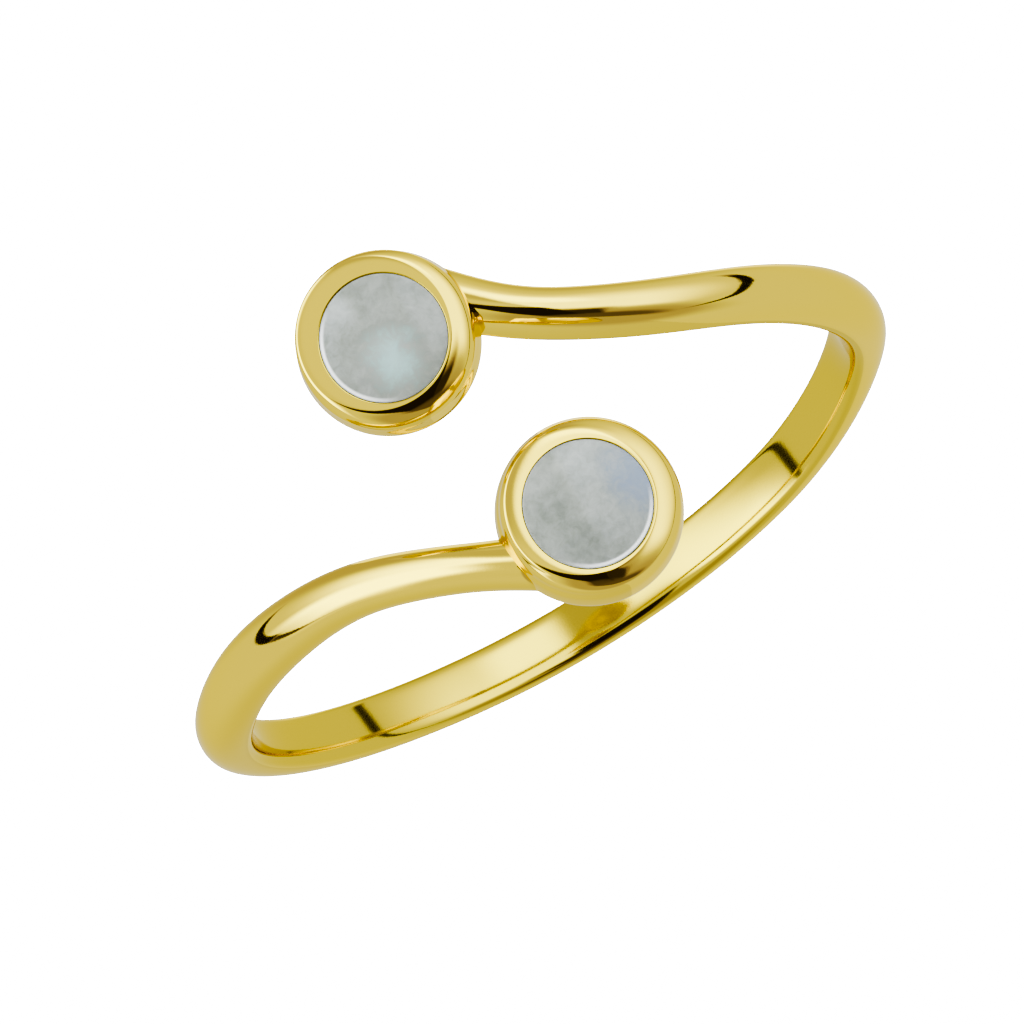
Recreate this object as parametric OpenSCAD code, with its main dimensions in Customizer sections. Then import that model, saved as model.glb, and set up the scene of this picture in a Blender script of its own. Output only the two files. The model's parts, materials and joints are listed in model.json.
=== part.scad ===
// Open bypass ring with two moonstone cabochons, in millimetres.
// The ring lies on its side: it rests on the lower bezel and on the back of the band.
// Inside the drawing the finger axis is Z, the back of the band is at +Y and the bezels are at -Y.
// An angle goes around the finger axis from the back of the band, positive towards +X.

/* [Finger hole] */
// Radius of the finger hole
finger_r = 8.75; // [7.75:0.25:10.5]

/* [Band] */
// Height of the widest line of the section, as a share of its thickness
widest_at = 0.38; // [0.3:0.02:0.5]
// How much the section reaches below the finger hole, so that its inside is cut round
inside_dip = 0.06; // [0.02:0.01:0.1]
// Angle past the back at which each arm ends, inside its bezel
arm_end = 179; // [178:0.5:181]
// Angle at which the solder begins to widen an arm towards its bezel
solder_from = 169; // [165:0.5:172]

/* [Bezels] */
// Outer radius at the foot of the wall
bezel_foot_r = 2.15; // [2.05:0.05:2.3]
// Outer radius at the shoulder, under the rolled lip
bezel_shoulder_r = 1.95; // [1.9:0.05:2.05]
// Height of the rim above the foot
bezel_h = 1.4; // [1.35:0.05:1.6]
// Distance from the finger hole to the middle of the foot
bezel_lift = 0.4; // [0.3:0.05:0.5]
// Radius of the opening inside the lip
lip_r = 1.5; // [1.45:0.05:1.55]
// Angle of both bezels' places past the back
bezel_at = 186.5; // [185:0.5:188]
// Angle that both bezels face
bezel_faces = 182; // [180:0.5:184]

/* [Stones] */
// Radius of a cabochon
stone_r = 1.75; // [1.7:0.05:1.8]
// Height of the flat back of a stone above the foot of its bezel
stone_seat = 0.3; // [0.2:0.05:0.4]
// Height of a stone's girdle above the foot of its bezel
girdle_h = 0.85; // [0.8:0.05:0.9]
// Height of the dome's top above the foot of its bezel
dome_h = 1.6; // [1.5:0.05:1.7]
// Gap between a stone and its bezel
stone_gap = 0.03; // [0.02:0.01:0.05]

/* [Resting place] */
// Turn about X that brings the band down on the surface
rest_pitch = -13.48; // [-15:0.01:-12]
// Turn about Y that levels the two places where the band touches
rest_roll = 0.44; // [-2:0.01:2]
// Place of the finger hole's centre, seen from the middle of the space that the ring takes up
rest_centre_y = 1.06; // [0.8:0.01:1.3]
// Height of the finger hole's centre over the surface
rest_centre_h = 2.95; // [2.7:0.01:3.2]

/* [Hidden] */
gold = "#c8b250";
moonstone = "#b9c1bf";
$fn = 96;

// One row for each section of the band, from the back to an arm's end. The shifts are along the
// finger axis: the upper arm's upwards and the lower arm's downwards.
ANGLE = 0;
UPPER_SHIFT = 1;
LOWER_SHIFT = 2;
UPPER_W = 3;
LOWER_W = 4;
THICK = 5;
SECTIONS = [
    [0, 0, 0, 1.60, 1.60, 1.00],
    [40, 0.20, 0.35, 1.50, 1.55, 1.10],
    [75, 0.45, 0.85, 1.40, 1.50, 1.20],
    [105, 0.70, 0.80, 1.40, 1.45, 1.25],
    [130, 0.75, 0.95, 1.45, 1.30, 1.25],
    [150, 1.15, 1.30, 1.25, 1.20, 1.25],
    [165, 2.10, 2.10, 1.10, 1.10, 1.25],
    [180, 3.40, 3.60, 1.00, 1.05, 1.25],
    [195, 4.80, 4.70, 1.00, 1.05, 1.25]
];

// One row for each bezel: the side of its arm, its shift along the finger axis, its lean, which
// turns its face upwards, and the width that the solder adds at the outer edge of its arm
SIDE = 0;
SHIFT = 1;
LEAN = 2;
SOLDER = 3;
UPPER_BEZEL = [1, 2.6, 8.5, 0.25];
LOWER_BEZEL = [-1, -3.25, 12, 0.45];

// The same sections as one list from the lower arm's end to the upper arm's end
AT = 0;
Z = 1;
W = 2;
T = 3;
last = len(SECTIONS) - 1;
lower_rows = [for (i = [last:-1:1])
    [-SECTIONS[i][ANGLE], -SECTIONS[i][LOWER_SHIFT], SECTIONS[i][LOWER_W], SECTIONS[i][THICK]]];
upper_rows = [for (s = SECTIONS) [s[ANGLE], s[UPPER_SHIFT], s[UPPER_W], s[THICK]]];
ROWS = concat(lower_rows, upper_rows);

// Steps along the band, points around its section, and the steps of a small arc in a profile
band_steps = 96;
section_points = 22;
arc_steps = 6;
// Powers of the section's two curves: nearly an ellipse outside, and squarer inside
outer_power = 2.2;
inner_power = 3.5;
// Radius of the lip's highest line, and height of its thin edge by the stone
crest_r = (bezel_shoulder_r + lip_r) / 2;
lip_edge_h = 0.06;
// Rounding at the foot of a bezel's wall, and the taper below it that reaches the finger hole
foot_round = 0.12;
foot_depth = 0.9;
foot_r = 1.5;
// Margin of a cut beyond the surface that it leaves
beyond = 1;
// Radius of the dome, from its height over the girdle, and the height of its centre
dome_rise = dome_h - girdle_h;
dome_r = (stone_r * stone_r + dome_rise * dome_rise) / (2 * dome_rise);
dome_centre = dome_h - dome_r;
pocket_r = stone_r + stone_gap;

// Height over the foot of a curve that follows the dome at a distance
function over_dome(r, gap) = dome_centre + sqrt(pow(dome_r + gap, 2) - r * r);

// A value of the band at an angle, on a cubic curve through the rows
function row_before(a, i = 0) = (i >= len(ROWS) - 2 || a < ROWS[i + 1][AT]) ? i : row_before(a, i + 1);
function slope(i, col) = let (lo = max(i - 1, 0), hi = min(i + 1, len(ROWS) - 1))
    (ROWS[hi][col] - ROWS[lo][col]) / (ROWS[hi][AT] - ROWS[lo][AT]);
function band_value(a, col) = let (
    i = row_before(a),
    h = ROWS[i + 1][AT] - ROWS[i][AT],
    t = (a - ROWS[i][AT]) / h
) (2 * t * t * t - 3 * t * t + 1) * ROWS[i][col] + (t * t * t - 2 * t * t + t) * h * slope(i, col)
    + (3 * t * t - 2 * t * t * t) * ROWS[i + 1][col] + (t * t * t - t * t) * h * slope(i + 1, col);

// Directions at an angle: away from the finger axis and around it
function outward(a) = [sin(a), cos(a), 0];
function around(a) = [cos(a), -sin(a), 0];
function unit(v) = v / norm(v);
function power(v, p) = sign(v) * pow(abs(v), 2 / p);

// Width that the solder adds to an arm at an angle, at its outer edge
function solder(a) = let (
    most = (a > 0 ? UPPER_BEZEL : LOWER_BEZEL)[SOLDER],
    t = max(0, (abs(a) - solder_from) / (arm_end - solder_from))
) most * t * t;

// One point of the band's section: its place across the band and its height over the finger hole
function section_point(a, turn) = let (
    w = band_value(a, W),
    t = band_value(a, T),
    low = widest_at * t,
    half = w / 2 + (cos(turn) * a > 0 ? solder(a) : 0),
    p = sin(turn) >= 0 ? outer_power : inner_power
) [half * power(cos(turn), p), low + (sin(turn) >= 0 ? t - low : low + inside_dip) * power(sin(turn), p)];

// The section at an angle, in space
function section(a) = let (
    slant = (band_value(a + 0.5, Z) - band_value(a - 0.5, Z)) * 180 / PI,
    across = unit(cross(around(a) * finger_r + [0, 0, slant], outward(a)))
) [for (i = [0:section_points - 1]) let (p = section_point(a, 360 * i / section_points))
    outward(a) * (finger_r + p[1]) + [0, 0, band_value(a, Z)] + across * p[0]];

module band() {
    rings = [for (i = [0:band_steps]) section(-arm_end + 2 * arm_end * i / band_steps)];
    n = section_points;
    points = [for (r = rings) each r];
    sides = [for (i = [0:band_steps - 1], j = [0:n - 1]) let (k = (j + 1) % n)
        each [[i * n + j, i * n + k, (i + 1) * n + k], [i * n + j, (i + 1) * n + k, (i + 1) * n + j]]];
    start = [for (j = [n - 1:-1:0]) j];
    end = [for (j = [0:n - 1]) band_steps * n + j];
    polyhedron(points = points, faces = concat([start], sides, [end]), convexity = 6);
}

// Places a profile that stands on its foot at a bezel
module at_bezel(b) {
    translate(outward(b[SIDE] * bezel_at) * (finger_r + bezel_lift) + [0, 0, b[SHIFT]])
        rotate([0, 0, -b[SIDE] * bezel_faces])
            rotate([b[LEAN] - 90, 0, 0])
                children();
}

// Points of a quarter of an ellipse
function arc(centre, radii, from, to) = [for (i = [0:arc_steps]) let (a = from + (to - from) * i / arc_steps)
    centre + [radii[0] * cos(a), radii[1] * sin(a)]];

// Wall and rolled lip of a bezel, filled inside. The foot tapers in and reaches the finger hole.
module bezel_body() {
    edge = over_dome(lip_r, stone_gap) + lip_edge_h;
    shoulder = bezel_h - (bezel_shoulder_r - crest_r);
    rotate_extrude() polygon(concat(
        [[0, -foot_depth], [foot_r, -foot_depth], [bezel_foot_r - foot_round, -foot_round]],
        arc([bezel_foot_r - foot_round, foot_round], [foot_round, foot_round], -60, 0),
        arc([crest_r, shoulder], [bezel_shoulder_r - crest_r, bezel_h - shoulder], 0, 90),
        arc([crest_r, edge], [crest_r - lip_r, bezel_h - edge], 90, 180),
        [[0, edge]]
    ));
}

// The hollow of a bezel: the stone with its gap, and the opening inside the lip
module bezel_hollow() {
    floor_h = stone_seat - stone_gap;
    rotate_extrude() polygon(concat(
        [[0, floor_h], [pocket_r, floor_h]],
        [for (i = [0:arc_steps]) let (r = pocket_r + (lip_r - pocket_r) * i / arc_steps)
            [r, over_dome(r, stone_gap)]],
        [[lip_r, bezel_h + beyond], [0, bezel_h + beyond]]
    ));
}

// Cabochon: a flat back with a small chamfer, a straight girdle and a low round dome
module cabochon() {
    chamfer = 0.08;
    dome_steps = 14;
    rotate_extrude() polygon(concat(
        [[0, stone_seat], [stone_r - chamfer, stone_seat], [stone_r, stone_seat + chamfer]],
        [for (i = [0:dome_steps]) let (r = stone_r * cos(90 * i / dome_steps)) [r, over_dome(r, 0)]]
    ));
}

module at_rest() {
    translate([0, rest_centre_y, rest_centre_h])
        rotate([rest_pitch, 0, 0])
            rotate([0, rest_roll, 0])
                children();
}

module band_and_bezels() {
    color(gold) at_rest() difference() {
        union() {
            band();
            at_bezel(UPPER_BEZEL) bezel_body();
            at_bezel(LOWER_BEZEL) bezel_body();
        }
        cylinder(r = finger_r, h = 2 * (finger_r + beyond), center = true);
        at_bezel(UPPER_BEZEL) bezel_hollow();
        at_bezel(LOWER_BEZEL) bezel_hollow();
    }
}

module stone_upper() {
    color(moonstone) at_rest() at_bezel(UPPER_BEZEL) cabochon();
}

module stone_lower() {
    color(moonstone) at_rest() at_bezel(LOWER_BEZEL) cabochon();
}

band_and_bezels();
stone_upper();
stone_lower();
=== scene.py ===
import json
import math

import bmesh
import bpy
from bpy.props import FloatProperty, FloatVectorProperty, PointerProperty
from mathutils import Matrix, Vector


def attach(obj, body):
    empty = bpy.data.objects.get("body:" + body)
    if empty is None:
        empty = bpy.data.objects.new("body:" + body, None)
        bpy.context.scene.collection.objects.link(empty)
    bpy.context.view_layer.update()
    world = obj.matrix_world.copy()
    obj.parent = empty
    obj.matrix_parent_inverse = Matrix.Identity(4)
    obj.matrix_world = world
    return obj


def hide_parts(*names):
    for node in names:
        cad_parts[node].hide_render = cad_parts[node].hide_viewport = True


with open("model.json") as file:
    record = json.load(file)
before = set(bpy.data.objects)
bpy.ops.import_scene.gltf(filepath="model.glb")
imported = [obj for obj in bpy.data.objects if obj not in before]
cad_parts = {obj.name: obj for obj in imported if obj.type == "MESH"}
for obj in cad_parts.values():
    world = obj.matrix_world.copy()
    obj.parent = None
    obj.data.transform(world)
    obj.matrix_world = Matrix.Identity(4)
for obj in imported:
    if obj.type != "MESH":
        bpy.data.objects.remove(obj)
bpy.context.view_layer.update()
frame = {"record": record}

bl_info = {
    "name": "Moonstone Bypass Ring",
    "version": (1, 0, 0),
    "blender": (4, 5, 0),
    "location": "View3D > Sidebar > Ring",
    "description": "Models an open ring with two bezel-set moonstones and its studio",
    "category": "Add Mesh",
}

MM = 0.001
FINGER_R = frame["record"]["mounts"][0]["dims"]["r_mm"] * MM

# The two sides of the ring: the arm, bezel and stone further along the finger axis, and the others
UPPER, LOWER = 1, -1

# The rows of the band, the same as in the CAD model: the angle from the back of the band, the shifts
# of the upper and the lower arm along the finger axis, their widths, and the thickness, in mm
ANGLE, UPPER_SHIFT, LOWER_SHIFT, UPPER_W, LOWER_W, THICK = range(6)
SECTIONS = [
    [0, 0, 0, 1.60, 1.60, 1.00],
    [40, 0.20, 0.35, 1.50, 1.55, 1.10],
    [75, 0.45, 0.85, 1.40, 1.50, 1.20],
    [105, 0.70, 0.80, 1.40, 1.45, 1.25],
    [130, 0.75, 0.95, 1.45, 1.30, 1.25],
    [150, 1.15, 1.30, 1.25, 1.20, 1.25],
    [165, 2.10, 2.10, 1.10, 1.10, 1.25],
    [180, 3.40, 3.60, 1.00, 1.05, 1.25],
    [195, 4.80, 4.70, 1.00, 1.05, 1.25],
]
AT, SHIFT, WIDTH, HEIGHT = range(4)

# How many points a section of the band has, and a circle of a bezel or stone, before subdivision
SECTION_POINTS = 16
BEZEL_POINTS = 32
SUBDIVISIONS = 2
# How full the band's section is over its widest line and under it: 2 is half an ellipse, and more is
# nearer to a rectangle
OUTER_POWER = 2.2
INNER_POWER = 3.8
# The circle that a section is made of starts this far below the inside of the bar, so that no row
# that has been moved lies beside one that hasn't
START_Y = -5 * MM
# Points that are nearer than this to a place are at it
NEAR = 0.01 * MM

# The outline of a bezel: radius and height over its foot, in mm, and the share of the lip's shift off
# the middle that the row takes up. First from the middle of its underside and up the wall.
BEZEL_WALL = [
    [1.00, -0.45, 0],
    [1.60, -0.50, 0],
    [1.86, -0.47, 0],
    [2.05, -0.22, 0],
    [2.155, 0.06, 0],
    [2.13, 0.34, 0],
    [2.10, 0.60, 0],
    [2.065, 0.84, 0],
]
# Then over the shoulder, which the file has left rounder on the lower bezel
BEZEL_SHOULDERS = {
    LOWER: [[2.055, 1.00, 0], [2.03, 1.17, 0.1], [1.93, 1.31, 0.5], [1.82, 1.385, 0.9], [1.75, 1.405, 1]],
    UPPER: [[2.00, 0.98, 0], [1.97, 1.21, 0], [1.81, 1.31, 0.35], [1.75, 1.36, 1], [1.68, 1.39, 1]],
}
# Then over the lip that is pushed over the stone, and down into the pocket
BEZEL_INSIDE = [
    [1.60, 1.405, 0.35],
    [1.51, 1.405, 0],
    [1.48, 1.404, 0],
    [1.473, 1.385, 0],
    [1.473, 1.20, 0],
    [1.62, 1.02, 0],
    [1.78, 0.88, 0],
    [1.78, 0.50, 0],
    [1.74, 0.28, 0],
    [1.40, 0.27, 0],
    [0.70, 0.27, 0],
]
# The file has left each lip at a slant. All that is higher over the foot than the first value is
# turned about the bezel's middle at the second, the height of the lip's flat top.
LIP_FROM, LIP_TOP = 1.1 * MM, 1.405 * MM

# The outline of a cabochon from its girdle to the lip's inner edge: radius and height over the
# bezel's foot, in mm
STONE_SHOULDER = [
    [1.70, 0.88],
    [1.60, 0.99],
    [1.47, 1.13],
    [1.465, 1.24],
    [1.467, 1.37],
    [1.466, 1.395],
    [1.45, 1.405],
]
# Where the dome has its rows, as shares of its shoulder's radius
DOME_ROWS = (0.93, 0.82, 0.68, 0.53, 0.39, 0.25, 0.11)

# The polish of the gold, in mm: how far apart and how high the swells are that polishing leaves, and
# the grain. The grain is drawn coarser than the real one, which is too fine to show.
SWELL, SWELL_HEIGHT = 1.4, 0.004
GRAIN, GRAIN_HEIGHT = 0.07, 0.0003
# The inside of the band is rougher, because the wheel reaches it less, and has a darker, deeper tint. Its
# finish ends between these heights over the finger, in mm.
INSIDE_ENDS = (0.15, 0.4)
INSIDE_ROUGHNESS, OUTSIDE_ROUGHNESS = 0.09, 0.045

# The clouds and the finer wisps in a moonstone, in mm, and where in the rough each stone was cut
CLOUD, WISP = 0.9, 0.22
CUT_AT = {UPPER: (7.3, 2.1, 0), LOWER: (-7.3, 2.1, 0)}
# How much the wisps add to the clouds, and the values between which both together go from dark to pale
WISP_SHARE = 0.6
CLOUD_RANGE = (0.6, 1.1)
# Where a stone's painted sheen sits, how far it reaches, both in mm, and its colour. The sheen that thin
# layers in a moonstone give back is painted into its colour.
STONE_PAINTED_SHEENS = {
    LOWER: [(-0.04, -0.56, 1.5), 0.95, "sea_painted_sheen"],
    UPPER: [(1.45, 0.1, 1.3), 1.3, "sky_painted_sheen"],
}
# The clouds make the painted sheen's edge ragged, by this much in mm for each 1 that they differ from their
# middle value
PAINTED_SHEEN_RAGGED = 1.5
CLOUD_MIDDLE = 0.8
PAINTED_SHEEN_STRENGTH = 0.8
# The painted highlight, an arc of light inside a stone's rim: its start, full, fade and end from the axis,
# in mm, the way that it faces, as an angle round the stone in degrees, and how far that way it starts and
# is full, in mm
PAINTED_RIM_ARC = (1.34, 1.4, 1.42, 1.46)
RIM_FACES = {LOWER: 190, UPPER: 285}
RIM_FROM, RIM_FULL = 0.5, 1.3
# How far red, green and blue light goes in under the stone's skin, in mm
STONE_DEPTHS = (0.12, 0.12, 0.14)

# The inputs and the output of a Mix node, which has a set for each data type
NUMBER_A, NUMBER_B, COLOUR_A, COLOUR_B = 2, 3, 6, 7
MIXED_NUMBER, MIXED_COLOUR = 0, 2


def linear(hex_colour):
    """Turn an sRGB hex colour into linear red, green, blue."""
    parts = [int(hex_colour[i:i + 2], 16) / 255 for i in (1, 3, 5)]
    return tuple(c / 12.92 if c <= 0.04045 else ((c + 0.055) / 1.055) ** 2.4 for c in parts)


def signed_rows():
    """The band's rows as one list from the lower arm's end to the upper arm's end."""
    lower = [[-r[ANGLE], -r[LOWER_SHIFT], r[LOWER_W], r[THICK]] for r in SECTIONS[:0:-1]]
    return lower + [[r[ANGLE], r[UPPER_SHIFT], r[UPPER_W], r[THICK]] for r in SECTIONS]


ROWS = signed_rows()


def band_value(angle, column):
    """A value of the band at an angle in degrees, on a cubic curve through the rows."""
    i = max(k for k in range(len(ROWS) - 1) if ROWS[k][AT] <= angle or k == 0)

    def slope(k):
        low, high = max(k - 1, 0), min(k + 1, len(ROWS) - 1)
        return (ROWS[high][column] - ROWS[low][column]) / (ROWS[high][AT] - ROWS[low][AT])

    h = ROWS[i + 1][AT] - ROWS[i][AT]
    t = (angle - ROWS[i][AT]) / h
    return (
        (2 * t**3 - 3 * t**2 + 1) * ROWS[i][column]
        + (t**3 - 2 * t**2 + t) * h * slope(i)
        + (3 * t**2 - 2 * t**3) * ROWS[i + 1][column]
        + (t**3 - t**2) * h * slope(i + 1)
    )


def slant(angle):
    """The band's slope along the finger axis at an angle in degrees, in radians."""
    rise = band_value(angle + 0.5, SHIFT) - band_value(angle - 0.5, SHIFT)
    return math.atan2(rise * MM, FINGER_R * math.radians(1))


def round_loss(points):
    """The share of its radius that a ring of points keeps when it is subdivided."""
    return (2 + math.cos(2 * math.pi / points)) / 3


def of_side(settings, side, name):
    """The setting of the upper or of the lower side."""
    return getattr(settings, ("upper_" if side > 0 else "lower_") + name)


def select(obj, kind, test):
    """Select only the vertices, edges or faces that pass a test, in edit mode."""
    bpy.ops.mesh.select_all(action="DESELECT")
    bpy.context.tool_settings.mesh_select_mode = (kind == "verts", kind == "edges", kind == "faces")
    mesh = bmesh.from_edit_mesh(obj.data)
    for element in getattr(mesh, kind):
        if test(element):
            element.select_set(True)
    mesh.select_flush_mode()
    bmesh.update_edit_mesh(obj.data)


def turn(angle, axis, centre=(0, 0, 0)):
    """Turn the selection by the right-hand rule. Without a window the operator turns the other way."""
    bpy.ops.transform.rotate(value=-angle, orient_axis=axis, orient_type="GLOBAL", center_override=centre)


def scale(factors, centre):
    """Scale the selection about a point."""
    bpy.ops.transform.resize(value=factors, orient_type="GLOBAL", center_override=centre)


def apply_place(obj):
    """Put an object's place, turn and scale into its mesh."""
    bpy.ops.object.select_all(action="DESELECT")
    obj.select_set(True)
    bpy.context.view_layer.objects.active = obj
    bpy.ops.object.transform_apply(location=True, rotation=True, scale=True)


def new_object(name):
    """Name the object that was just added, and give its mesh its place."""
    obj = bpy.context.object
    obj.name = obj.data.name = name
    apply_place(obj)
    return obj


def apply_modifier(obj, kind, **settings):
    """Add a modifier and apply it."""
    modifier = obj.modifiers.new(kind.title(), kind)
    for key, value in settings.items():
        setattr(modifier, key, value)
    bpy.context.view_layer.objects.active = obj
    bpy.ops.object.modifier_apply(modifier=modifier.name)


def round_off(obj):
    """Turn all faces outwards and subdivide the piece smoothly. It ends in object mode."""
    bpy.ops.object.mode_set(mode="EDIT")
    bpy.ops.mesh.select_all(action="SELECT")
    bpy.ops.mesh.normals_make_consistent(inside=False)
    bpy.ops.object.mode_set(mode="OBJECT")
    apply_modifier(obj, "SUBSURF", levels=SUBDIVISIONS, render_levels=SUBDIVISIONS)
    bpy.ops.object.shade_smooth()


def lay_down(obj):
    """Lay a piece that is modelled round the finger axis down as the ring rests."""
    place = bpy.context.scene.ring_place
    obj.rotation_mode = "YXZ"
    obj.rotation_euler = (place.pitch, place.roll, 0)
    obj.location = (0, place.centre_y, place.centre_h)
    apply_place(obj)


class RingPlace(bpy.types.PropertyGroup):
    """How the ring lies on the surface"""

    pitch: FloatProperty(
        name="Pitch", description="Turn that brings the band down on the surface",
        default=math.radians(-13.48), subtype="ANGLE")
    roll: FloatProperty(
        name="Roll", description="Turn that levels the two places where the band touches",
        default=math.radians(0.44), subtype="ANGLE")
    centre_y: FloatProperty(
        name="Centre Y", description="Place of the finger hole's centre",
        default=1.06 * MM, subtype="DISTANCE", precision=5)
    centre_h: FloatProperty(
        name="Centre height", description="Height of the finger hole's centre over the surface",
        default=2.985 * MM, subtype="DISTANCE", precision=5)


class BandSettings(bpy.types.PropertyGroup):
    """Sizes of the band"""

    widest_at: FloatProperty(
        name="Widest at", description="Height of the widest line, as a share of the thickness",
        default=0.38, min=0.2, max=0.6)
    end: FloatProperty(
        name="Arm end", description="Angle at which an arm ends, inside its bezel's wall",
        default=math.radians(175.5), subtype="ANGLE")
    square_from: FloatProperty(
        name="Square from", description="Angle from which an arm's sections turn square to the wall",
        default=math.radians(166.5), subtype="ANGLE")
    step: FloatProperty(
        name="Step", description="Angle between two sections of the band",
        default=math.radians(4.5), subtype="ANGLE")
    upper_flare: FloatVectorProperty(
        name="Upper flare", description="How much the upper arm spreads at its bezel, outwards and inwards",
        default=(0.1 * MM, 0.1 * MM), size=2, subtype="XYZ_LENGTH", precision=5)
    lower_flare: FloatVectorProperty(
        name="Lower flare", description="How much the lower arm spreads at its bezel, outwards and inwards",
        default=(0.5 * MM, 0), size=2, subtype="XYZ_LENGTH", precision=5)
    flare_length: FloatProperty(
        name="Flare length", description="Angle over which an arm gets wider",
        default=math.radians(7.5), subtype="ANGLE")


class BezelSettings(bpy.types.PropertyGroup):
    """Places of the bezels"""

    lift: FloatProperty(
        name="Lift", description="Distance from the finger hole to the middle of a bezel's foot",
        default=0.4 * MM, subtype="DISTANCE", precision=5)
    at: FloatProperty(
        name="At", description="Angle of both bezels past the back of the band",
        default=math.radians(186.5), subtype="ANGLE")
    faces: FloatProperty(
        name="Faces", description="Angle that both bezels face",
        default=math.radians(182), subtype="ANGLE")
    upper_shift: FloatProperty(
        name="Upper shift", description="Place of the upper bezel along the finger axis",
        default=2.6 * MM, subtype="DISTANCE", precision=5)
    lower_shift: FloatProperty(
        name="Lower shift", description="Place of the lower bezel along the finger axis",
        default=-3.25 * MM, subtype="DISTANCE", precision=5)
    upper_lean: FloatProperty(
        name="Upper lean", description="Lean of the upper bezel's face",
        default=math.radians(8.5), subtype="ANGLE")
    lower_lean: FloatProperty(
        name="Lower lean", description="Lean of the lower bezel's face",
        default=math.radians(12), subtype="ANGLE")
    upper_lip: FloatVectorProperty(
        name="Upper lip", description="How far the file has left the upper bezel's flat lip off the middle",
        default=(-0.13 * MM, 0.09 * MM), size=2, subtype="XYZ_LENGTH", precision=5)
    lower_lip: FloatVectorProperty(
        name="Lower lip", description="How far the file has left the lower bezel's flat lip off the middle",
        default=(-0.14 * MM, 0.17 * MM), size=2, subtype="XYZ_LENGTH", precision=5)
    upper_tilt: FloatVectorProperty(
        name="Upper tilt", description="Fall of the upper bezel's flat lip along its own X and Y",
        default=(math.radians(5), math.radians(-0.5)), size=2)
    lower_tilt: FloatVectorProperty(
        name="Lower tilt", description="Fall of the lower bezel's flat lip along its own X and Y",
        default=(math.radians(-1), math.radians(-2)), size=2)


class StoneSettings(bpy.types.PropertyGroup):
    """Sizes of the cabochons"""

    radius: FloatProperty(
        name="Radius", description="Radius of a cabochon at its girdle",
        default=1.75 * MM, subtype="DISTANCE", precision=5)
    seat: FloatProperty(
        name="Seat", description="Height of the flat back over the foot of the bezel",
        default=0.3 * MM, subtype="DISTANCE", precision=5)
    girdle: FloatProperty(
        name="Girdle", description="Height of the girdle over the foot of the bezel",
        default=0.77 * MM, subtype="DISTANCE", precision=5)
    shoulder_radius: FloatProperty(
        name="Shoulder radius", description="Radius at which the dome rolls over towards the lip",
        default=1.38 * MM, subtype="DISTANCE", precision=5)
    shoulder: FloatProperty(
        name="Shoulder", description="Height of the dome's shoulder over the foot of the bezel",
        default=1.415 * MM, subtype="DISTANCE", precision=5)
    top: FloatProperty(
        name="Top", description="Height of the dome's top over the foot of the bezel",
        default=1.6 * MM, subtype="DISTANCE", precision=5)


class FinishSettings(bpy.types.PropertyGroup):
    """Colours of the gold and the moonstones"""

    gold: FloatVectorProperty(
        name="Gold", description="Tint that the polished gold gives what it reflects",
        default=linear("#e8d253"), size=3, min=0, max=1, subtype="COLOR")
    gold_edge: FloatVectorProperty(
        name="Gold edge", description="Tint of the gold where it is seen at a flat angle",
        default=linear("#faf2c2"), size=3, min=0, max=1, subtype="COLOR")
    gold_inside: FloatVectorProperty(
        name="Gold inside", description="Deeper tint of the gold on the inside of the band",
        default=linear("#d2be44"), size=3, min=0, max=1, subtype="COLOR")
    milk: FloatVectorProperty(
        name="Milk", description="Pale part of a moonstone's body",
        default=linear("#a3a598"), size=3, min=0, max=1, subtype="COLOR")
    cloud: FloatVectorProperty(
        name="Cloud", description="Darker clouds in a moonstone",
        default=linear("#7d8173"), size=3, min=0, max=1, subtype="COLOR")
    # The colour of the turquoise sheen that is painted into the lower stone
    sea_painted_sheen: FloatVectorProperty(
        name="Sea glow", description="Turquoise glow in the lower stone",
        default=linear("#aecabf"), size=3, min=0, max=1, subtype="COLOR")
    # The colour of the highlight that is painted in an arc along the rim of a moonstone
    painted_rim_highlight: FloatVectorProperty(
        name="Rim light", description="Light that gathers along the rim of a moonstone",
        default=linear("#f0efe4"), size=3, min=0, max=1, subtype="COLOR")
    # The colour of the blue sheen that is painted at the edge of the upper stone
    sky_painted_sheen: FloatVectorProperty(
        name="Sky glow", description="Blue glow at the edge of the upper stone",
        default=linear("#7b8999"), size=3, min=0, max=1, subtype="COLOR")


class StudioSettings(bpy.types.PropertyGroup):
    """The camera, and the light of the tent"""

    azimuth: FloatProperty(
        name="Azimuth", description="Camera's turn about the finger axis from the front of the ring",
        default=math.radians(0.381), subtype="ANGLE")
    elevation: FloatProperty(
        name="Elevation", description="Camera's angle towards the upper edge of the ring",
        default=math.radians(16.136), subtype="ANGLE")
    roll: FloatProperty(
        name="Roll", description="Camera's turn about its own axis",
        default=math.radians(150.554), subtype="ANGLE")
    distance: FloatProperty(
        name="Distance", description="Camera's distance from the finger hole's centre",
        default=104.544 * MM, subtype="DISTANCE", precision=4)
    focal_length: FloatProperty(
        name="Focal length", description="Focal length of the lens, for a full-frame sensor",
        default=148.21, subtype="DISTANCE_CAMERA")
    shift: FloatVectorProperty(
        name="Shift", description="How far the lens is shifted across and up, as shares of the picture",
        default=(-0.03477, 0.02492), size=2, precision=5)
    tent: FloatProperty(
        name="Tent", description="Light of the tent's plain cloth", default=0.9, min=0)
    dim_cloth: FloatVectorProperty(
        name="Dim cloth", description="Colour of the light from the tent's dark parts, white being 1",
        default=(1, 0.8, 1.7), size=3, min=0)
    lit_cloth: FloatVectorProperty(
        name="Lit cloth", description="Colour of the light from the tent's lit panels, white being 1",
        default=(1, 1.08, 1.25), size=3, min=0)
    paper: FloatProperty(
        name="Paper", description="Glow of the white paper that the ring lies on", default=9, min=0)


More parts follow.
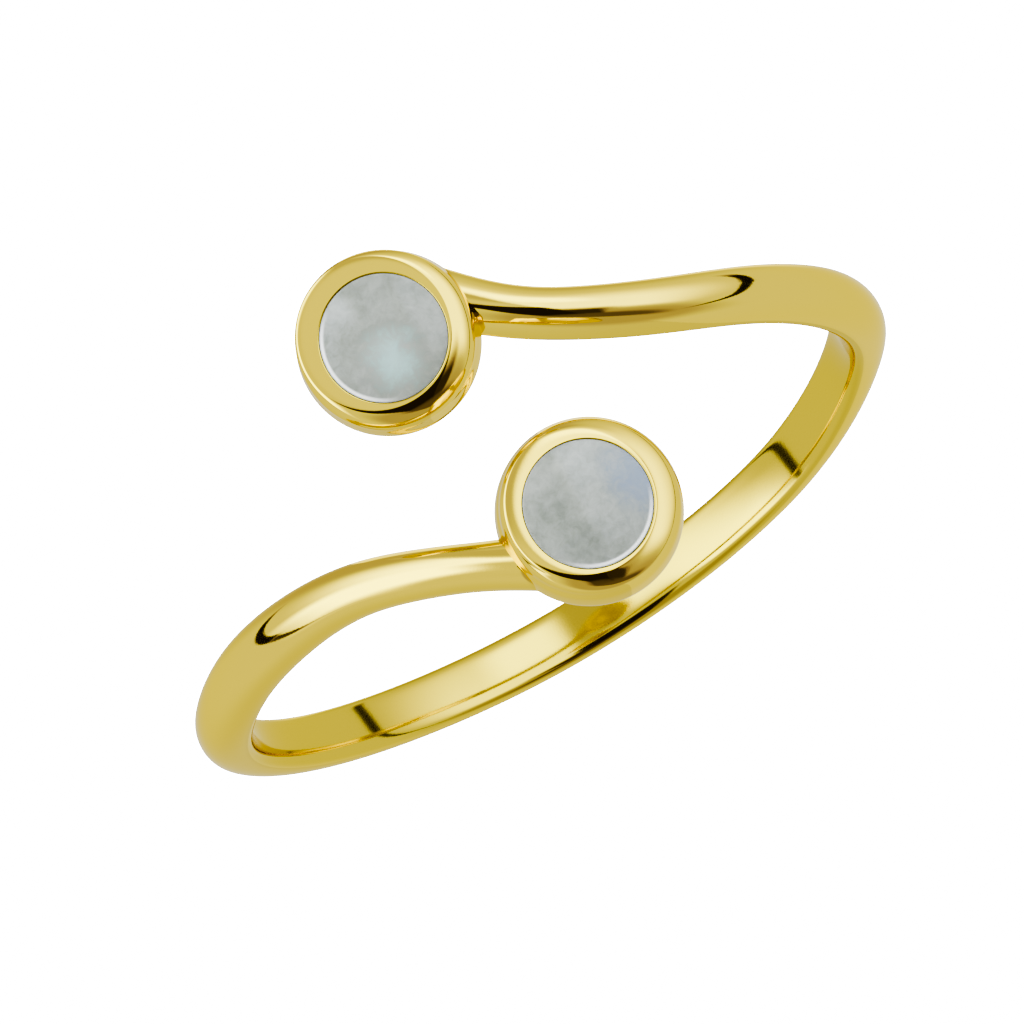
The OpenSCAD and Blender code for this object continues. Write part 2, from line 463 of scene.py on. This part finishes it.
def section_share(turned):
    """The half-width and the height of a point of the D-section, as shares, at an angle round it."""
    power = OUTER_POWER if math.sin(turned) >= 0 else INNER_POWER
    across, up = (abs(f(turned)) ** (2 / power) for f in (math.cos, math.sin))
    widest = bpy.context.scene.ring_band.widest_at
    return across, widest + (1 - widest) * up if math.sin(turned) >= 0 else widest * (1 - up)


def shape_section(bar):
    """Turn the circle of radius 1 mm into the D-section, row by row, 1 mm wide and 1 mm thick."""
    for k in range(-SECTION_POINTS // 4, SECTION_POINTS // 4 + 1):
        turned = 2 * math.pi * k / SECTION_POINTS
        row_y = START_Y + math.sin(turned) * MM
        across, up = section_share(turned)
        select(bar, "verts", lambda v: abs(v.co.y - row_y) < NEAR)
        # The lowest and the highest row are one point each, which has no width to change
        narrowing = across / 2 / math.cos(turned) if abs(k) < SECTION_POINTS // 4 else 1
        scale((1, 1, narrowing), (0, 0, 0))
        bpy.ops.transform.translate(value=(0, up * MM - row_y, 0))


def flare(angle):
    """How much the band spreads at an angle in degrees, away from the middle and towards it."""
    band = bpy.context.scene.ring_band
    share = 1 - (band.end - math.radians(abs(angle))) / band.flare_length
    return [spread * max(share, 0) ** 2 for spread in of_side(band, angle, "flare")]


def bar_row(angle):
    """The bar's place along X and Z, its width and thickness in mm, and its lean about Y in radians,
    at an angle in degrees. Near a bezel it leans less, until its section is square to the wall."""
    band = bpy.context.scene.ring_band
    keep = round_loss(SECTION_POINTS)
    outwards, inwards = flare(angle)
    z = band_value(angle, SHIFT) * MM + math.copysign((outwards - inwards) / 2, angle)
    square = max(math.radians(abs(angle)) - band.square_from, 0) / (band.end - band.square_from)
    width = band_value(angle, WIDTH) / keep / math.cos(square * slant(angle)) + (outwards + inwards) / MM
    height = band_value(angle, HEIGHT) / keep
    return FINGER_R * math.radians(angle), z, width, height, (square - 1) * slant(angle)


def model_bar():
    """The band before it is bent: a bar along X, with its inside at Y 0."""
    bpy.ops.mesh.primitive_circle_add(
        vertices=SECTION_POINTS, radius=MM, fill_type="NOTHING", location=(0, START_Y, 0),
        rotation=(0, math.pi / 2, 0))
    bar = new_object("polished_band")
    bpy.ops.object.mode_set(mode="EDIT")
    shape_section(bar)
    bpy.ops.mesh.select_all(action="SELECT")
    band = bpy.context.scene.ring_band
    end, step = math.degrees(band.end), math.degrees(band.step)
    angles = [-end + i * step for i in range(int(round(2 * end / step)) + 1)]
    x, z, width, height, lean = 0, 0, 1, 1, 0
    for angle in angles:
        if angle != angles[0]:
            bpy.ops.mesh.extrude_region_move()
        next_x, next_z, next_width, next_height, next_lean = bar_row(angle)
        turn(-lean, "Y", (x, 0, z))
        scale((1, next_height / height, next_width / width), (x, 0, z))
        bpy.ops.transform.translate(value=(next_x - x, 0, next_z - z))
        turn(next_lean, "Y", (next_x, 0, next_z))
        x, z, width, height, lean = next_x, next_z, next_width, next_height, next_lean
    # The two ends are creased, so that they stay in the bezels' walls when the piece is subdivided
    select(bar, "edges", lambda e: e.is_boundary)
    bpy.ops.transform.edge_crease(value=1)
    bpy.ops.mesh.fill_holes(sides=0)
    bpy.ops.object.mode_set(mode="OBJECT")
    return bar


def bend(bar):
    """Bend the bar round the finger, with the back of the band at +Y."""
    apply_modifier(
        bar, "SIMPLE_DEFORM", deform_method="BEND", deform_axis="Z", angle=-bar.dimensions.x / FINGER_R)
    bar.location = (0, FINGER_R, 0)
    apply_place(bar)


def close_pole():
    """Close the selected ring of points with faces that meet in its middle."""
    bpy.ops.mesh.extrude_region_move()
    bpy.ops.mesh.merge(type="CENTER")


def model_round(name, outline, points):
    """A closed shell round Z, left in edit mode. Each row of its outline is a radius, a height, and
    how far the row's middle lies off the axis along X and Y. The first row's lies on the axis."""
    radius, height, x, y = outline[0]
    bpy.ops.mesh.primitive_circle_add(
        vertices=points, radius=radius, fill_type="NOTHING", location=(0, 0, height))
    shell = new_object(name)
    bpy.ops.object.mode_set(mode="EDIT")
    select(shell, "verts", lambda v: True)
    close_pole()
    select(shell, "verts", lambda v: v.co.xy.length > radius / 2)
    for next_radius, next_height, next_x, next_y in outline[1:]:
        bpy.ops.mesh.extrude_region_move()
        scale((next_radius / radius, next_radius / radius, 1), (x, y, height))
        bpy.ops.transform.translate(value=(next_x - x, next_y - y, next_height - height))
        radius, height, x, y = next_radius, next_height, next_x, next_y
    close_pole()
    return shell


def slant_top(obj, side):
    """Turn what is above LIP_FROM, in edit mode, to the slant that the file has left the lip at."""
    tilt = of_side(bpy.context.scene.ring_bezels, side, "tilt")
    select(obj, "verts", lambda v: v.co.z > LIP_FROM)
    turn(tilt[0], "Y", (0, 0, LIP_TOP))
    turn(-tilt[1], "X", (0, 0, LIP_TOP))


def place_on_ring(obj, side):
    """Take a piece that is modelled on the foot of its bezel to its place on the ring."""
    bezels = bpy.context.scene.ring_bezels
    reach = FINGER_R + bezels.lift
    shift, lean = (of_side(bezels, side, name) for name in ("shift", "lean"))
    obj.location = (reach * math.sin(side * bezels.at), reach * math.cos(bezels.at), shift)
    obj.rotation_euler = (lean - math.pi / 2, 0, -side * bezels.faces)
    apply_place(obj)


def model_bezel(side):
    """A bezel: a round cup with a foot, a wall, a filed shoulder, a flat lip and a pocket."""
    lip = of_side(bpy.context.scene.ring_bezels, side, "lip")
    keep = round_loss(BEZEL_POINTS)
    rows = BEZEL_WALL + BEZEL_SHOULDERS[side] + BEZEL_INSIDE
    outline = [[r / keep * MM, h * MM, lip[0] * share, lip[1] * share] for r, h, share in rows]
    cup = model_round("bezel", outline, BEZEL_POINTS)
    slant_top(cup, side)
    bpy.ops.object.mode_set(mode="OBJECT")
    place_on_ring(cup, side)
    return cup


def solder(bar, cups):
    """Join the band and the bezels, whose walls the arms end in."""
    bpy.ops.object.select_all(action="DESELECT")
    for obj in [bar, *cups]:
        obj.select_set(True)
    bpy.context.view_layer.objects.active = bar
    bpy.ops.object.join()
    round_off(bar)


def stone_rows():
    """A cabochon's outline: a flat back, a girdle, a shoulder that the lip grips, and a low dome."""
    stones = bpy.context.scene.ring_stones
    # The edge of the back is a little rounded, over the first three rows
    rows = [
        [0.9 * stones.radius, stones.seat],
        [0.985 * stones.radius, stones.seat + 0.02 * MM],
        [stones.radius, stones.seat + 0.1 * MM],
        [stones.radius, stones.girdle],
    ]
    rows += [[radius * MM, height * MM] for radius, height in STONE_SHOULDER]
    rise = stones.top - stones.shoulder
    dome = (stones.shoulder_radius**2 + rise**2) / (2 * rise)
    for share in DOME_ROWS:
        radius = share * stones.shoulder_radius
        rows.append([radius, stones.top - dome + math.sqrt(dome**2 - radius**2)])
    return rows


def model_stone(side):
    """A cabochon in its bezel, slanted at its top like the bezel's lip."""
    stones = bpy.context.scene.ring_stones
    keep = round_loss(BEZEL_POINTS)
    outline = [[radius / keep, height, 0, 0] for radius, height in stone_rows()]
    stone = model_round("moonstone_upper" if side > 0 else "moonstone_lower", outline, BEZEL_POINTS)
    select(stone, "verts", lambda v: v.co.xy.length < NEAR and v.co.z > stones.girdle)
    bpy.ops.transform.translate(value=(0, 0, stones.top - outline[-1][1]))
    slant_top(stone, side)
    round_off(stone)
    keep_place(stone, "in_stone")
    place_on_ring(stone, side)
    lay_down(stone)
    return stone


def keep_place(obj, name):
    """Keep each point's place in millimetres before the piece is moved, for patterns that follow it."""
    place = obj.data.attributes.new(name, "FLOAT_VECTOR", "POINT")
    for vertex, value in zip(obj.data.vertices, place.data):
        value.vector = vertex.co / MM


def add_node(tree, kind, settings, inputs):
    """Add a node with its settings. An input is a value, or the output of another node."""
    node = tree.nodes.new(kind)
    for key, value in settings.items():
        setattr(node, key, value)
    for key, value in inputs.items():
        if isinstance(value, bpy.types.NodeSocket):
            tree.links.new(value, node.inputs[key])
        else:
            node.inputs[key].default_value = value
    return node.outputs


def soft_range(tree, value, start, full, fade, end):
    """A mask that rises smoothly from start to full, and falls from fade to end."""
    rise = add_node(
        tree, "ShaderNodeMapRange", {"interpolation_type": "SMOOTHSTEP"},
        {"Value": value, "From Min": start, "From Max": full})
    fall = add_node(
        tree, "ShaderNodeMapRange", {"interpolation_type": "SMOOTHSTEP"},
        {"Value": value, "From Min": fade, "From Max": end, "To Min": 1, "To Max": 0})
    return add_node(tree, "ShaderNodeMath", {"operation": "MULTIPLY"}, {0: rise[0], 1: fall[0]})[0]


def distance_from_axis(tree, place):
    """The distance of a place from the Z axis of its pattern, in mm."""
    across = add_node(tree, "ShaderNodeVectorMath", {"operation": "MULTIPLY"}, {0: place, 1: (1, 1, 0)})[0]
    return add_node(tree, "ShaderNodeVectorMath", {"operation": "LENGTH"}, {0: across})["Value"]


def new_material(name):
    """A material with an empty node tree."""
    material = bpy.data.materials.new(name)
    material.use_nodes = True
    material.node_tree.nodes.clear()
    return material, material.node_tree


def polished_gold():
    """Cast yellow gold, filed and then polished on a wheel. It mirrors the tent, a little bent by the
    swells that polishing leaves, and its fine grain softens the edges of what it mirrors."""
    material, tree = new_material("polished_yellow_gold")
    finish = bpy.context.scene.ring_finish
    place = add_node(tree, "ShaderNodeAttribute", {"attribute_name": "in_ring"}, {})["Vector"]
    outside = add_node(tree, "ShaderNodeMapRange", {"interpolation_type": "SMOOTHSTEP"}, {
        "Value": distance_from_axis(tree, place),
        "From Min": FINGER_R / MM + INSIDE_ENDS[0], "From Max": FINGER_R / MM + INSIDE_ENDS[1]})[0]
    roughness = add_node(tree, "ShaderNodeMapRange", {}, {
        "Value": outside, "To Min": INSIDE_ROUGHNESS, "To Max": OUTSIDE_ROUGHNESS})[0]
    tint = add_node(tree, "ShaderNodeMix", {"data_type": "RGBA"}, {
        "Factor": outside, COLOUR_A: (*finish.gold_inside, 1), COLOUR_B: (*finish.gold, 1)})[MIXED_COLOUR]
    swells = add_node(tree, "ShaderNodeTexNoise", {}, {"Vector": place, "Scale": 1 / SWELL, "Detail": 1})[0]
    grain = add_node(tree, "ShaderNodeTexNoise", {}, {"Vector": place, "Scale": 1 / GRAIN, "Detail": 3})[0]
    bent = add_node(tree, "ShaderNodeBump", {}, {
        "Height": swells, "Strength": 1, "Distance": SWELL_HEIGHT * MM})[0]
    surface = add_node(tree, "ShaderNodeBump", {}, {
        "Height": grain, "Strength": 1, "Distance": GRAIN_HEIGHT * MM, "Normal": bent})[0]
    shader = add_node(tree, "ShaderNodeBsdfPrincipled", {}, {
        "Base Color": tint, "Metallic": 1, "Roughness": roughness, "Normal": surface,
        "Specular Tint": (*finish.gold_edge, 1)})[0]
    add_node(tree, "ShaderNodeOutputMaterial", {}, {"Surface": shader})
    return material


def stone_clouds(tree, place, side):
    """Soft clouds with finer wisps in them, as one value."""
    in_rough = add_node(tree, "ShaderNodeVectorMath", {"operation": "ADD"}, {0: place, 1: CUT_AT[side]})[0]
    clouds = add_node(tree, "ShaderNodeTexNoise", {}, {
        "Vector": in_rough, "Scale": 1 / CLOUD, "Detail": 4, "Roughness": 0.55, "Distortion": 0.3})[0]
    wisps = add_node(tree, "ShaderNodeTexNoise", {}, {
        "Vector": in_rough, "Scale": 1 / WISP, "Detail": 4, "Roughness": 0.65, "Distortion": 0.8})[0]
    return add_node(
        tree, "ShaderNodeMath", {"operation": "MULTIPLY_ADD"}, {0: wisps, 1: WISP_SHARE, 2: clouds})[0]


def painted_sheen_mask(tree, place, clouds, side):
    """The mask of the painted sheen, which stands in for the light that thin layers in the crystal give
    back. It fades out round one place.
    """
    painted_sheen_at, reach, _ = STONE_PAINTED_SHEENS[side]
    offset = add_node(tree, "ShaderNodeVectorMath", {"operation": "SUBTRACT"}, {0: place, 1: painted_sheen_at})[0]
    away = add_node(tree, "ShaderNodeVectorMath", {"operation": "LENGTH"}, {0: offset})["Value"]
    ragged = add_node(
        tree, "ShaderNodeMath", {"operation": "MULTIPLY_ADD"}, {0: clouds, 1: PAINTED_SHEEN_RAGGED, 2: away})[0]
    middle = PAINTED_SHEEN_RAGGED * CLOUD_MIDDLE
    return add_node(tree, "ShaderNodeMapRange", {"interpolation_type": "SMOOTHSTEP"}, {
        "Value": ragged, "From Min": reach + middle, "From Max": middle, "To Max": PAINTED_SHEEN_STRENGTH})[0]


def painted_rim_highlight_mask(tree, place, side):
    """The mask of the highlight that is painted in an arc inside the rim, for the light that comes in
    through the dome and gathers there.
    """
    rim = soft_range(tree, distance_from_axis(tree, place), *PAINTED_RIM_ARC)
    turned = math.radians(RIM_FACES[side])
    towards = add_node(tree, "ShaderNodeVectorMath", {"operation": "DOT_PRODUCT"}, {
        0: place, 1: (math.cos(turned), math.sin(turned), 0)})["Value"]
    faced = add_node(tree, "ShaderNodeMapRange", {"interpolation_type": "SMOOTHSTEP"}, {
        "Value": towards, "From Min": RIM_FROM, "From Max": RIM_FULL})[0]
    return add_node(tree, "ShaderNodeMath", {"operation": "MULTIPLY"}, {0: rim, 1: faced})[0]


def moonstone(side):
    """Rainbow moonstone, a feldspar cut as a cabochon and polished. Its body is milky with soft clouds,
    light goes a little way in, and its skin is glassy. A sheen of sea or sky colour is painted into its
    colour in one place, and so is a highlight in an arc inside its rim."""
    material, tree = new_material("moonstone_sky" if side > 0 else "moonstone_sea")
    finish = bpy.context.scene.ring_finish
    place = add_node(tree, "ShaderNodeAttribute", {"attribute_name": "in_stone"}, {})["Vector"]
    clouds = stone_clouds(tree, place, side)
    pale = add_node(tree, "ShaderNodeMapRange", {}, {
        "Value": clouds, "From Min": CLOUD_RANGE[0], "From Max": CLOUD_RANGE[1]})[0]
    body = add_node(tree, "ShaderNodeMix", {"data_type": "RGBA"}, {
        "Factor": pale, COLOUR_A: (*finish.cloud, 1), COLOUR_B: (*finish.milk, 1)})[MIXED_COLOUR]
    # A painted sheen of sea or sky colour over the stone's body
    painted_sheen_colour = getattr(finish, STONE_PAINTED_SHEENS[side][2])
    with_painted_sheen = add_node(tree, "ShaderNodeMix", {"data_type": "RGBA"}, {
        "Factor": painted_sheen_mask(tree, place, clouds, side),
        COLOUR_A: body, COLOUR_B: (*painted_sheen_colour, 1)})[MIXED_COLOUR]
    # A highlight painted in an arc inside the rim, over the stone's colour
    colour = add_node(tree, "ShaderNodeMix", {"data_type": "RGBA"}, {
        "Factor": painted_rim_highlight_mask(tree, place, side),
        COLOUR_A: with_painted_sheen, COLOUR_B: (*finish.painted_rim_highlight, 1)})[MIXED_COLOUR]
    shader = add_node(tree, "ShaderNodeBsdfPrincipled", {"subsurface_method": "RANDOM_WALK"}, {
        "Base Color": colour, "Roughness": 0.06, "IOR": 1.52, "Subsurface Weight": 0.25,
        "Subsurface Radius": [depth * MM for depth in STONE_DEPTHS], "Subsurface Scale": 1})[0]
    add_node(tree, "ShaderNodeOutputMaterial", {}, {"Surface": shader})
    return material


# What the tent shows the ring, one patch over the other: its light, its edges in azimuth (0 is the
# camera's side, positive towards +X), how far they bow back with the square of the elevation, and
# its edges in elevation. Each pair of edges is start, full, fade, end in degrees. Edges past 180 or
# 90 degrees leave a patch open on that side.
TENT = [
    ["dimmer back, left", 0.75, [120, 175, 400, 420], 0, [-120, -100, 100, 120]],
    ["dim floor", 0.55, [-420, -400, 400, 420], 0, [-120, -100, -72, -38]],
    ["lit floor at the back", 1.6, [-200, -185, -150, -125], 0, [-78, -68, -50, -38]],
    ["dim top", 0.5, [-420, -400, 400, 420], 0, [42, 62, 100, 120]],
    ["lit panel, left, lower part", 3.3, [9, 16, 25, 80], 0, [-62, -14, -2, 15]],
    ["lit panel, left, upper part", 3.7, [22, 38, 66, 92], -0.02, [-18, 0, 24, 40]],
    ["lit panel, right", 2.4, [-88, -50, -14, -7], 0, [-42, 6, 36, 52]],
    ["lamp behind the right panel", 3.3, [-44, -30, -18, -9], 0, [-24, -8, 0, 12]],
    ["shade over the right panel", 0.5, [-46, -34, -8, -4], 0, [32, 48, 60, 70]],
    ["light between the panels", 1.0, [-12, -6, 8, 14], 0, [10, 20, 60, 70]],
    ["gap between the panels", 0.65, [-10, -6, 6, 10], 0, [-120, -100, 8, 20]],
    ["dark top", 0.15, [-150, -115, 35, 50], 0, [62, 74, 100, 120]],
    ["seam, left", 0.02, [85, 86, 90, 91], 0, [-60, -40, 0, 8]],
    ["seam, left, folded", 0.08, [86, 87.5, 90, 91.5], -0.0125, [0, 6, 24, 38]],
    ["seam, right", 0.02, [-89, -88, -85, -84], 0.0075, [-14, -8, 50, 66]],
    ["seam, right, lower part", 0.02, [-89.5, -88.5, -85, -83.5], 0.003, [-44, -30, -10, -3]],
    ["beside the camera opening", 0.06, [-38, -30, -15, -9], 0, [42, 52, 66, 76]],
    ["camera opening", 0.03, [-17, -11, 29, 35], 0, [26, 31, 66, 76]],
]
# The light between which the cloth's colour goes from dim to white, and from white to lit
DIM_TO_WHITE = (0.25, 0.75)
WHITE_TO_LIT = (1.2, 3)


def tent_light(tree, azimuth, elevation):
    """The tent's light in a direction in degrees: the plain cloth with the patches over it."""
    squared = add_node(tree, "ShaderNodeMath", {"operation": "POWER"}, {0: elevation, 1: 2})[0]
    light = bpy.context.scene.ring_studio.tent
    for name, level, across, bow, upwards in TENT:
        bowed = add_node(
            tree, "ShaderNodeMath", {"operation": "MULTIPLY_ADD"}, {0: squared, 1: bow, 2: azimuth})[0]
        sides = soft_range(tree, bowed, *across)
        ends = soft_range(tree, elevation, *upwards)
        patch = add_node(tree, "ShaderNodeMath", {"operation": "MULTIPLY"}, {0: sides, 1: ends})[0]
        light = add_node(tree, "ShaderNodeMix", {"data_type": "FLOAT", "label": name}, {
            "Factor": patch, NUMBER_A: light, NUMBER_B: level})[MIXED_NUMBER]
    return light


def light_tent():
    """The light tent round the ring, as a world: all that the gold mirrors."""
    studio = bpy.context.scene.ring_studio
    world = bpy.data.worlds.new("light_tent")
    bpy.context.scene.world = world
    world.use_nodes = True
    tree = world.node_tree
    tree.nodes.clear()
    way = add_node(tree, "ShaderNodeTexCoord", {}, {})["Generated"]
    x, y, z = add_node(tree, "ShaderNodeSeparateXYZ", {}, {"Vector": way})
    front = add_node(tree, "ShaderNodeMath", {"operation": "MULTIPLY"}, {0: y, 1: -1})[0]
    turned = add_node(tree, "ShaderNodeMath", {"operation": "ARCTAN2"}, {0: x, 1: front})[0]
    raised = add_node(tree, "ShaderNodeMath", {"operation": "ARCSINE"}, {0: z})[0]
    azimuth = add_node(tree, "ShaderNodeMath", {"operation": "DEGREES"}, {0: turned})[0]
    elevation = add_node(tree, "ShaderNodeMath", {"operation": "DEGREES"}, {0: raised})[0]
    light = tent_light(tree, azimuth, elevation)
    colour = (*studio.dim_cloth, 1)
    for (start, full), cloth in ((DIM_TO_WHITE, (1, 1, 1)), (WHITE_TO_LIT, studio.lit_cloth)):
        reached = add_node(tree, "ShaderNodeMapRange", {}, {
            "Value": light, "From Min": start, "From Max": full})[0]
        colour = add_node(tree, "ShaderNodeMix", {"data_type": "RGBA"}, {
            "Factor": reached, COLOUR_A: colour, COLOUR_B: (*cloth, 1)})[MIXED_COLOUR]
    glow = add_node(tree, "ShaderNodeBackground", {}, {"Color": colour, "Strength": light})[0]
    add_node(tree, "ShaderNodeOutputWorld", {}, {"Surface": glow})


# The white paper: the radius of its flat part, the radius of the curve up from it, and the height of
# its wall, which is also that of its roof
PAPER_R, PAPER_COVE, PAPER_WALL = 500 * MM, 400 * MM, 300 * MM
# The angles of the rows in both curves, and of the roof's last row, in radians
PAPER_BENDS = (0.39, 0.79, 1.18)
PAPER_TOP = 1.45
PAPER_POINTS = 64

# The width of a full-frame sensor, in mm, and how near and how far the camera sees, in metres
SENSOR_WIDTH = 36
SEES_FROM, SEES_TO = 1 * MM, 10


def backlit_paper():
    """White paper with light behind it, so that it is the picture's white."""
    material, tree = new_material("backlit_white_paper")
    glow = add_node(tree, "ShaderNodeEmission", {}, {
        "Color": (1, 1, 1, 1), "Strength": bpy.context.scene.ring_studio.paper})[0]
    add_node(tree, "ShaderNodeOutputMaterial", {}, {"Surface": glow})
    return material


def paper_sweep():
    """White paper that the ring lies on, which curves up and closes round the camera."""
    rows = [[PAPER_R, 0]]
    rows += [
        [PAPER_R + PAPER_COVE * math.sin(a), PAPER_COVE * (1 - math.cos(a))]
        for a in (*PAPER_BENDS, math.pi / 2)]
    rows += [
        [(PAPER_R + PAPER_COVE) * math.cos(a), PAPER_COVE + PAPER_WALL + PAPER_WALL * math.sin(a)]
        for a in (0, *PAPER_BENDS, PAPER_TOP)]
    sweep = model_round("white_paper_sweep", [[*row, 0, 0] for row in rows], PAPER_POINTS)
    bpy.ops.object.mode_set(mode="OBJECT")
    bpy.ops.object.shade_smooth()
    # The ring mirrors the tent and not the paper, so that the paper can be white in the picture
    sweep.visible_glossy = False
    sweep.visible_diffuse = False
    sweep.visible_transmission = False
    sweep.visible_shadow = False
    sweep.data.materials.append(backlit_paper())


def add_camera():
    """The camera at the photograph's angle to the ring, carried along as the ring is laid down."""
    studio, place = bpy.context.scene.ring_studio, bpy.context.scene.ring_place
    turned, raised = studio.azimuth, studio.elevation
    level = Vector((math.cos(turned), math.sin(turned), 0))
    back = Vector((
        math.sin(turned) * math.cos(raised), -math.cos(turned) * math.cos(raised), math.sin(raised)))
    plain = Matrix((level, back.cross(level), back)).transposed().to_4x4()
    plain.translation = back * studio.distance
    rolled = plain @ Matrix.Rotation(studio.roll, 4, "Z")
    laid = Matrix.Translation((0, place.centre_y, place.centre_h))
    laid = laid @ Matrix.Rotation(place.pitch, 4, "X") @ Matrix.Rotation(place.roll, 4, "Y")
    bpy.ops.object.camera_add()
    camera = bpy.context.object
    camera.name = "camera"
    camera.matrix_world = laid @ rolled
    camera.data.lens = studio.focal_length
    camera.data.sensor_width = SENSOR_WIDTH
    camera.data.shift_x, camera.data.shift_y = studio.shift
    camera.data.clip_start, camera.data.clip_end = SEES_FROM, SEES_TO
    bpy.context.scene.camera = camera


class RING_OT_metal(bpy.types.Operator):
    """Model the band and its two bezels as one piece of polished gold"""

    bl_idname = "ring.metal"
    bl_label = "Band and Bezels"

    def execute(self, context):
        bpy.ops.object.select_all(action="DESELECT")
        bar = model_bar()
        bend(bar)
        solder(bar, [model_bezel(UPPER), model_bezel(LOWER)])
        keep_place(bar, "in_ring")
        lay_down(bar)
        bar.data.materials.append(polished_gold())
        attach(bar, "root")
        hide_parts("band_and_bezels")
        return {"FINISHED"}


class RING_OT_moonstones(bpy.types.Operator):
    """Cut a moonstone cabochon for each bezel"""

    bl_idname = "ring.moonstones"
    bl_label = "Moonstones"

    def execute(self, context):
        bpy.ops.object.select_all(action="DESELECT")
        for side, node in ((UPPER, "stone_upper"), (LOWER, "stone_lower")):
            stone = model_stone(side)
            stone.data.materials.append(moonstone(side))
            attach(stone, "root")
            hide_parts(node)
        return {"FINISHED"}


class RING_OT_studio(bpy.types.Operator):
    """Set up the white paper, the light tent and the camera"""

    bl_idname = "ring.studio"
    bl_label = "Studio"

    def execute(self, context):
        bpy.ops.object.select_all(action="DESELECT")
        paper_sweep()
        light_tent()
        add_camera()
        context.scene.view_settings.view_transform = "AgX"
        context.scene.view_settings.look = "AgX - High Contrast"
        return {"FINISHED"}


class RING_PT_panel(bpy.types.Panel):
    """The ring's operators and all its sizes and colours"""

    bl_idname = "RING_PT_panel"
    bl_label = "Moonstone Ring"
    bl_space_type = "VIEW_3D"
    bl_region_type = "UI"
    bl_category = "Ring"

    def draw(self, context):
        for name in ("ring.metal", "ring.moonstones", "ring.studio"):
            self.layout.operator(name)
        for name in SETTINGS:
            group = getattr(context.scene, name)
            for key in group.bl_rna.properties.keys():
                if key not in ("rna_type", "name"):
                    self.layout.prop(group, key)


SETTINGS = {
    "ring_place": RingPlace,
    "ring_band": BandSettings,
    "ring_bezels": BezelSettings,
    "ring_stones": StoneSettings,
    "ring_finish": FinishSettings,
    "ring_studio": StudioSettings,
}
CLASSES = [*SETTINGS.values(), RING_OT_metal, RING_OT_moonstones, RING_OT_studio, RING_PT_panel]


def register():
    for cls in CLASSES:
        bpy.utils.register_class(cls)
    for name, cls in SETTINGS.items():
        setattr(bpy.types.Scene, name, PointerProperty(type=cls))


def unregister():
    for name in SETTINGS:
        delattr(bpy.types.Scene, name)
    for cls in reversed(CLASSES):
        bpy.utils.unregister_class(cls)


def main():
    register()
    bpy.ops.ring.metal()
    bpy.ops.ring.moonstones()
    bpy.ops.ring.studio()


if __name__ == "__main__":
    main()
